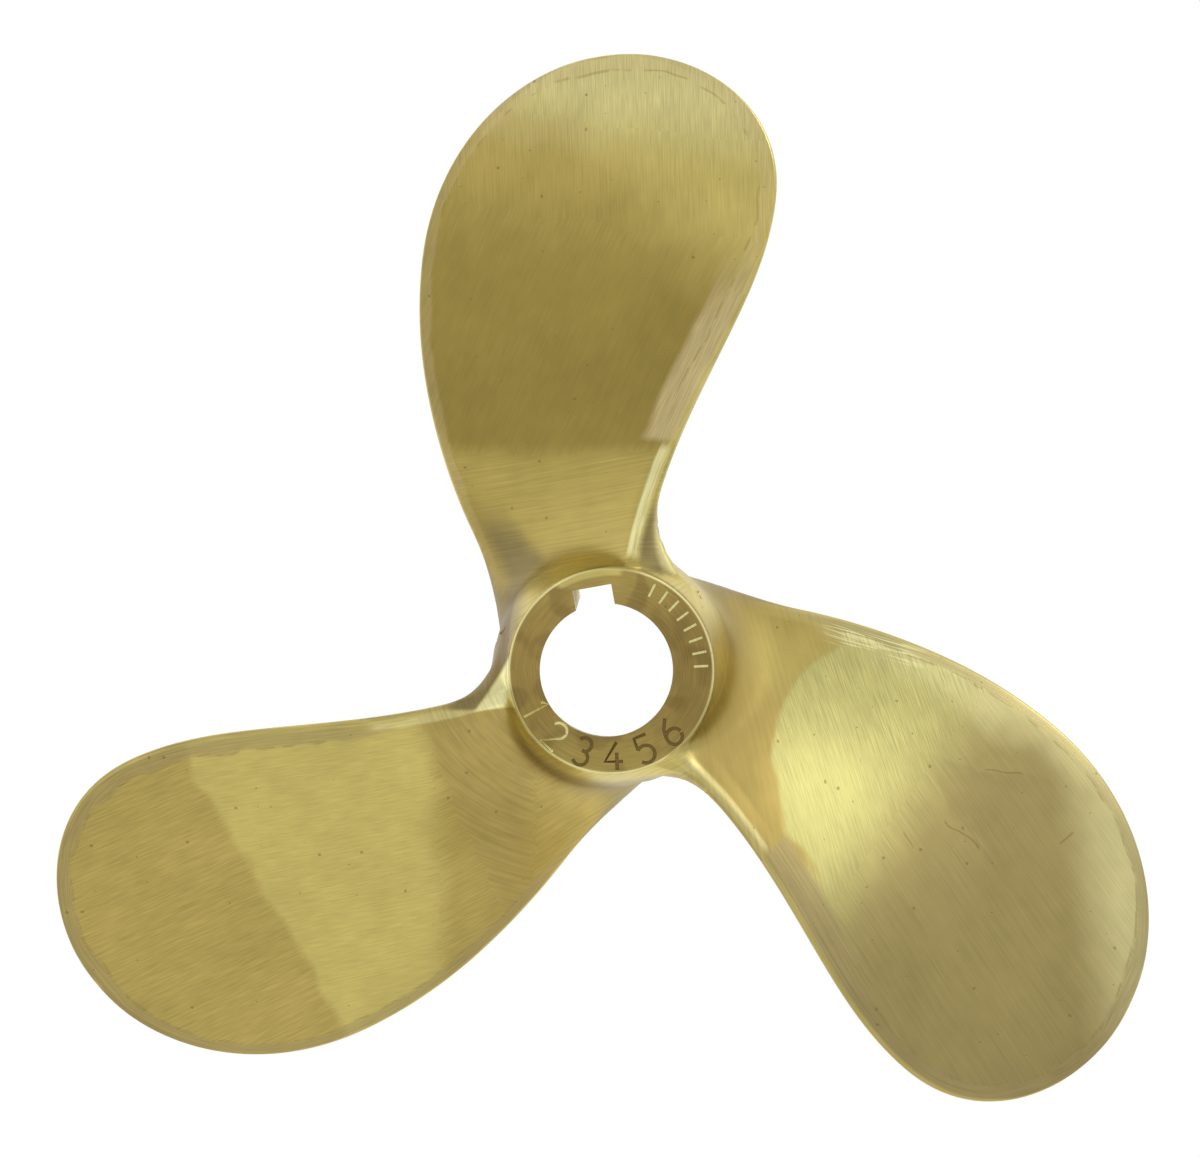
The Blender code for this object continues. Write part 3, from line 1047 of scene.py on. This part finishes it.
def finish_scratches(finish, place, wavy):
    """Coarse bright scratches along the upper edge of the third blade, and single dark ones."""
    for first, second in SCRATCHES:
        finish.lay(scratch(wavy, first, second) * 0.5, DARK, 0.5)
    along, across = straight(place, -17)
    region = across.near(18.2, 2.1, 1.4) * along.step(36, 40) * along.step(58, 50)
    finish.lay(region * noise(along * 0.1, across * 2.0, 27.1).step(-0.02, 0.08), POLISHED, 0.38)


def paint_shade_on_sides(finish, place, facing):
    """Painted shade on the steep sides, lifted by painted light above and right of the ring."""
    steep = facing.near(0.0, 0.75, 0.35)
    # Painted shade on steep sides
    finish.lay(steep * 0.7, SHADED, 0.45)
    above = place[1].step(4, 12)
    # Painted light over that shade above and right of the ring
    collar = within(place, HUB_CENTRE, 22.5, 2.5) * left_of(place, (-22, 14), (8, -20), 3)
    collar = collar * place[0].step(-17, -13) * (above * 0.35 + 0.6)
    finish.lay(steep * collar, mixed(above, GOLD, GROUND, "RGBA"), 0.42)


def finish_beside_ring(finish, place, wavy, face):
    """Ground and polished places between the ring and the blades' roots, with painted shade left of the
    ring and in the groove round it.
    """
    x, y = place
    out = round_centre(place, HUB_CENTRE)[1]
    ground = out.step(21, 18.5) * left_of(wavy, (12, -14), (-16, 6), 3.0) * y.step(-5, -8) * face
    finish.lay(ground, GROUND, 0.4)
    # Painted shade left of the ring, darkest close to it
    left_painted_shade = x.step(-16.2, -17.2) * x.step(-28, -25) * y.step(-7.2, -6.4) * y.step(16, 12)
    left_painted_shade = left_painted_shade * left_of(place, (-21.7, -6.5), (-18.1, -1.1), 0.3)
    finish.lay(left_painted_shade, mixed(x.step(-18, -21), DARK, SHADED, "RGBA"), 0.45)
    corner = left_of(place, (-23.5, -7.2), (-16.4, -6.4), 0.3) * x.step(-9, -11)
    finish.lay(corner * left_of(wavy, (-17.8, -0.6), (-22.0, -7.0), 0.5), POLISHED, 0.3)
    # Painted shade in the groove at the upper right of the ring
    groove = out.step(NOSE_RADIUS + 0.7, NOSE_RADIUS + 0.2) * left_of(wavy, (-4, 17), (14, -14), 3.0)
    finish.lay(groove * 0.6, SHADED, 0.45)


def finish_aft_end(finish, place, height, wavy, face):
    """The turned aft end: browner, blotched, scraped at the top, with a painted highlight on its edge, and
    stamped, the lower stamps darker and the others with a painted highlight.
    """
    x, y = place
    around = round_centre(place, HUB_CENTRE)
    out = around[1]
    end = out.step(NOSE_RADIUS + 0.1, NOSE_RADIUS - 0.1) * face
    finish.lay(end, BROWN, 0.42, strokes(around, 12.0, 0.25, 0.5))
    finish.lay(end * y.math("ABSOLUTE").step(8, 14) * 0.4, GOLD, 0.42)
    finish.lay(end * x.step(9, 13) * 0.25, DARK, 0.42)
    blotches = noise(wavy[0] * 0.16, wavy[1] * 0.16, 15.8).step(-0.02, 0.14)
    finish.lay(end * blotches * 0.5, DARK, 0.45)
    scraped = left_of(wavy, (-9, 14), (-2, 12), 0.5) * left_of(wavy, (1.5, 11), (3.0, 18), 0.5)
    finish.lay(end * scraped * out.step(NOSE_RADIUS - 1.6, NOSE_RADIUS - 1.1), GROUND, 0.35)
    # Painted highlight on the ring's chamfered edge
    edge = out.near(NOSE_RADIUS - 0.1, 0.4, 0.15) * height.step(HUB_AFT_Z - 0.5, HUB_AFT_Z - 0.35)
    finish.lay(edge * 0.7, POLISHED, 0.3)
    # Stamps' grooves: darker at the bottom and lower right, and a painted highlight in the ticks and
    # lower-left digits
    sunk = height.step(HUB_AFT_Z - 0.04, HUB_AFT_Z - 0.16) * out.step(NOSE_RADIUS - 0.2, NOSE_RADIUS - 0.4)
    lower_stamps = left_of(place, HUB_CENTRE, (-7.75, -14.8), 0.3) * y.step(-1, -3)
    finish.lay(end * sunk, mixed(lower_stamps, POLISHED, DARK, "RGBA"), 0.38)


def brass():
    """Hand-ground brass: regions of different grain, filed edges, polish on convex wear, and painted
    highlights and painted shade in places.
    """
    material = bpy.data.materials.new("brass")
    material.use_nodes = True
    tree = material.node_tree
    shader = tree.nodes["Principled BSDF"]
    shader.inputs["Metallic"].default_value = 1.0
    x, y, z = [value * (1 / MM) for value in shaded_place(tree)]
    place = (x, y)
    waver = noise(x * 0.12, y * 0.12, 20.5) * 3.0
    wavy = (x + waver, y + waver)
    facing = stored(tree, "facing")
    face = facing.step(0.05, 0.3)
    finish = Finish(SATIN, 0.4, strokes(straight(place, 30), 6.0, 0.4, 0.5))
    finish_blade_1(finish, place, wavy, face)
    finish_blade_2(finish, place, wavy, face)
    finish_blade_3(finish, place, wavy, face)
    finish_rims(finish, place, stored(tree, "rim"), stored(tree, "chord"), face)
    finish_scratches(finish, place, wavy)
    paint_shade_on_sides(finish, place, facing)
    # Convex places brightened: real wear, and also a painted highlight along convex edges
    wear_and_highlight = (stored(tree, "convex") + noise(x * 0.7, z * 0.7, 23.3) * 0.1).step(0.12, 0.4)
    finish.lay(wear_and_highlight * 0.6, GROUND, 0.3)
    finish_beside_ring(finish, place, wavy, face)
    finish_aft_end(finish, place, z, wavy, face)
    pits = noise(x * 0.9, y * 0.9, 24.6, 0.0).step(0.4, 0.43)
    finish.lay(pits * 0.5, DARK, 0.5)
    grain = finish.grain()
    clouds = noise(x * 0.045, y * 0.045, 25.2) * 0.22 + noise(x * 0.22, y * 0.22, 26.4) * 0.14
    shade = tree.nodes.new("ShaderNodeVectorMath")
    shade.operation = "SCALE"
    feed(tree, shade.inputs[0], finish.colour)
    feed(tree, shade.inputs["Scale"], grain + clouds + 1.0)
    tree.links.new(shade.outputs[0], shader.inputs["Base Color"])
    feed(tree, shader.inputs["Roughness"], finish.roughness + grain * 0.15)
    bump = tree.nodes.new("ShaderNodeBump")
    bump.inputs["Distance"].default_value = GRAIN_DEPTH * MM
    feed(tree, bump.inputs["Height"], grain - pits)
    tree.links.new(bump.outputs[0], shader.inputs["Normal"])
    return material


def make_floor():
    """A white floor that shines evenly, so that nothing shades it."""
    data = bpy.data.meshes.new("floor")
    half = FLOOR_REACH
    height = HUB_FORWARD_Z * MM
    data.from_pydata(
        [(-half, -half, height), (half, -half, height), (half, half, height), (-half, half, height)],
        [],
        [(0, 1, 2, 3)],
    )
    floor = bpy.data.objects.new("floor", data)
    bpy.context.scene.collection.objects.link(floor)
    material = bpy.data.materials.new("floor_white")
    material.use_nodes = True
    shader = material.node_tree.nodes["Principled BSDF"]
    shader.inputs["Base Color"].default_value = (0.0, 0.0, 0.0, 1.0)
    shader.inputs["Specular IOR Level"].default_value = 0.0
    shader.inputs["Emission Color"].default_value = (1.0, 1.0, 1.0, 1.0)
    shader.inputs["Emission Strength"].default_value = 1.0
    data.materials.append(material)


def make_lamp():
    """A weak lamp that looks at the hub."""
    data = bpy.data.lights.new("key_light", "AREA")
    data.size = LAMP_SIZE
    data.energy = LAMP_POWER
    lamp = bpy.data.objects.new("key_light", data)
    lamp.location = LAMP_PLACE
    lamp.rotation_euler = (-Vector(LAMP_PLACE)).to_track_quat("-Z", "Y").to_euler()
    bpy.context.scene.collection.objects.link(lamp)


def make_room():
    """A white room with softly brighter sides."""
    world = bpy.data.worlds.new("studio")
    world.use_nodes = True
    tree = world.node_tree
    direction = shaded_place(tree, "Generated")
    light = ROOM_LIGHT
    for azimuth, from_top, reach, strength in ROOM_SIDES:
        turn, tilt = math.radians(azimuth), math.radians(from_top)
        axis = (math.sin(tilt) * math.cos(turn), math.sin(tilt) * math.sin(turn), math.cos(tilt))
        towards = direction[0] * axis[0] + direction[1] * axis[1] + direction[2] * axis[2]
        light = towards.step(math.cos(math.radians(reach)), 1.0) * strength + light
    feed(tree, tree.nodes["Background"].inputs["Strength"], light)
    tree.nodes["Background"].inputs["Color"].default_value = (1.0, 1.0, 1.0, 1.0)
    bpy.context.scene.world = world


def make_camera():
    """A near camera that looks almost straight down the hub's axis."""
    data = bpy.data.cameras.new("camera")
    data.sensor_width = 36
    data.lens = data.sensor_width * FOCAL_PIXELS / FRAME_WIDTH
    data.shift_x = (FRAME_WIDTH / 2 - AXIS_PIXEL[0]) / FRAME_WIDTH
    data.shift_y = (AXIS_PIXEL[1] - FRAME_HEIGHT / 2) / FRAME_WIDTH
    data.clip_start = 0.01
    camera = bpy.data.objects.new("camera", data)
    tilt = Vector([math.radians(angle) for angle in CAMERA_TILT])
    world_to_camera = Matrix.Rotation(tilt.length, 4, tilt)
    camera.matrix_world = Matrix.Translation(Vector(CAMERA_PLACE) * MM) @ world_to_camera.inverted()
    bpy.context.scene.collection.objects.link(camera)
    bpy.context.scene.camera = camera


def main():
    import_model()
    make_camera()
    casting = make_casting()
    mark_places(casting)
    casting.data.materials.clear()
    casting.data.materials.append(brass())
    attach(casting, "root")
    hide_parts("propeller")
    make_floor()
    make_room()
    make_lamp()
    bpy.context.scene.view_settings.view_transform = "Standard"


main()
